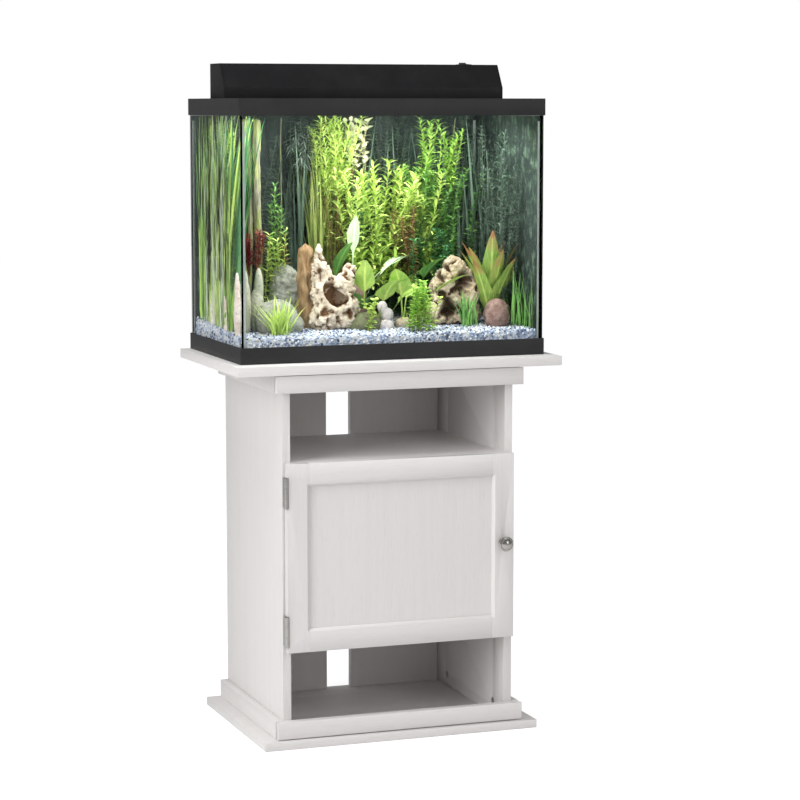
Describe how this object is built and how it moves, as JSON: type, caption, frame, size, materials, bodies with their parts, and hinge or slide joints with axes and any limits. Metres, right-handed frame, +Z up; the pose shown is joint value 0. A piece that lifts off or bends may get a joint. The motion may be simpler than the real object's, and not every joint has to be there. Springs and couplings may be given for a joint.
{
  "type": "aquarium on stand",
  "caption": "Planted glass aquarium with a black frame, hinged glass canopy and strip light, on a white board stand with two open bays and a panelled door.",
  "frame": {"origin": "middle of the underside of the base panel", "axes": "+X to the right, +Y to the back, +Z up; the door and the lid face -Y"},
  "size_m": [0.654, 0.428, 1.2976],
  "materials": {
    "white_board": "white wood-grain laminate on board, satin",
    "fittings_steel": "zinc-plated steel",
    "satin_nickel": "satin nickel plate",
    "white_plastic": "moulded, matt",
    "black_plastic": "moulded, satin black",
    "light_black": "fine-textured matt black",
    "switch_black": "moulded, gloss black",
    "tank_glass": "clear float glass, polished edges",
    "canopy_glass": "clear float glass",
    "silicone": "cured black silicone, satin",
    "background": "dark green backing film",
    "gravel": "mixed white, grey and blue gravel",
    "rock": "pale pitted limestone",
    "round_stone": "smooth water-worn stone",
    "driftwood": "weathered brown wood",
    "stem_leaf": "leaf, satin",
    "bush_leaf": "leaf, satin",
    "sword_leaf": "broad leaf, satin",
    "foreground_leaf": "leaf, satin",
    "light_diffuser": "frosted diffuser",
    "led_board": "white solder mask with light chips"
  },
  "bodies": {
    "stand": {"base_panel": "white_board", "top_panel": "white_board", "left_side_panel": "white_board", "right_side_panel": "white_board", "upper_shelf": "white_board", "lower_shelf": "white_board", "left_back_board": "white_board", "right_back_board": "white_board", "upper_front_rail": "white_board", "upper_left_rail": "white_board", "upper_right_rail": "white_board", "plinth_front_rail": "white_board", "plinth_left_rail": "white_board", "plinth_right_rail": "white_board", "cam_locks": "fittings_steel", "cam_bolts": "fittings_steel", "hinge_frame_leaves": "satin_nickel", "hinge_pins": "fittings_steel", "frame_screws": "fittings_steel", "catch_body": "white_plastic", "tank_bottom_frame": "black_plastic", "tank_top_rim": "black_plastic", "front_glass": "tank_glass", "back_glass": "tank_glass", "left_glass": "tank_glass", "right_glass": "tank_glass", "bottom_glass": "tank_glass", "silicone_seams": "silicone", "background_film": "background", "gravel_bed": "gravel", "left_rock": "rock", "right_rock": "rock", "round_stones": "round_stone", "driftwood": "driftwood", "tall_stem_plants": "stem_leaf", "bushy_plants": "bush_leaf", "sword_plant": "sword_leaf", "foreground_plants": "foreground_leaf"},
    "door": {"door_left_stile": "white_board", "door_right_stile": "white_board", "door_top_rail": "white_board", "door_bottom_rail": "white_board", "door_panel": "white_board", "door_knob": "satin_nickel", "door_screws": "fittings_steel", "hinge_door_leaves": "satin_nickel", "catch_plate": "fittings_steel"},
    "canopy": {"canopy_rear_glass": "canopy_glass", "canopy_hinge_strip": "black_plastic"},
    "lid": {"lid_glass": "canopy_glass", "lid_hinge_strip": "black_plastic", "lid_handle": "black_plastic"},
    "light": {"light_housing": "light_black", "light_left_cap": "light_black", "light_right_cap": "light_black", "light_lens": "light_diffuser", "led_board": "led_board", "power_socket": "switch_black", "switch_body": "switch_black"},
    "rocker": {"rocker_switch": "switch_black"}
  },
  "joints": [
    {"name": "door_hinge", "type": "hinge", "parent": "stand", "child": "door", "pos_m": [-0.2323, -0.1965, 0.3647], "axis": [0, 0, -1], "range_deg": [0, 110]},
    {"name": "canopy_lift", "type": "slide", "parent": "stand", "child": "canopy", "axis": [0, 0, 1], "range_m": [0, 0.08]},
    {"name": "lid_hinge", "type": "hinge", "parent": "canopy", "child": "lid", "pos_m": [0, -0.006, 1.22], "axis": [-1, 0, 0], "range_deg": [0, 85]},
    {"name": "light_lift", "type": "slide", "parent": "canopy", "child": "light", "axis": [0, 0, 1], "range_m": [0, 0.12]},
    {"name": "switch_rock", "type": "hinge", "parent": "light", "child": "rocker", "pos_m": [0.228, 0.07, 1.292], "axis": [-1, 0, 0], "range_deg": [0, 18]}
  ]
}
